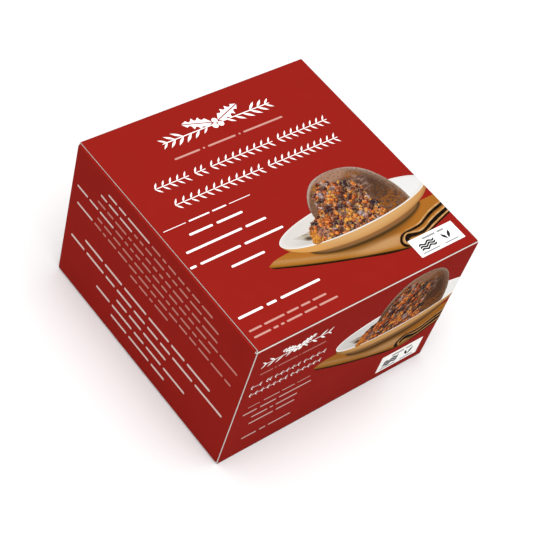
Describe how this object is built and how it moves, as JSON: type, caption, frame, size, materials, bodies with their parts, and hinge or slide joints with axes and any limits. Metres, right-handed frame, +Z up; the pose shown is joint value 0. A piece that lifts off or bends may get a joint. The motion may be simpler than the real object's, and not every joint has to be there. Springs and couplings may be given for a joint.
{
  "type": "shut folding carton of a boxed christmas pudding",
  "caption": "Square, low folding carton with a tucked lid and base, shut and full, printed with a pudding on a plate.",
  "frame": {"origin": "middle of the foot, on the surface the carton stands on", "axes": "+Z up through the lid, -Y out of the front wall, +X to the right as seen from the front"},
  "size_m": [0.112, 0.112, 0.074],
  "materials": {
    "printed_board": "satin, offset printed and varnished"
  },
  "bodies": {
    "root": {"carton": "printed_board"}
  },
  "joints": []
}
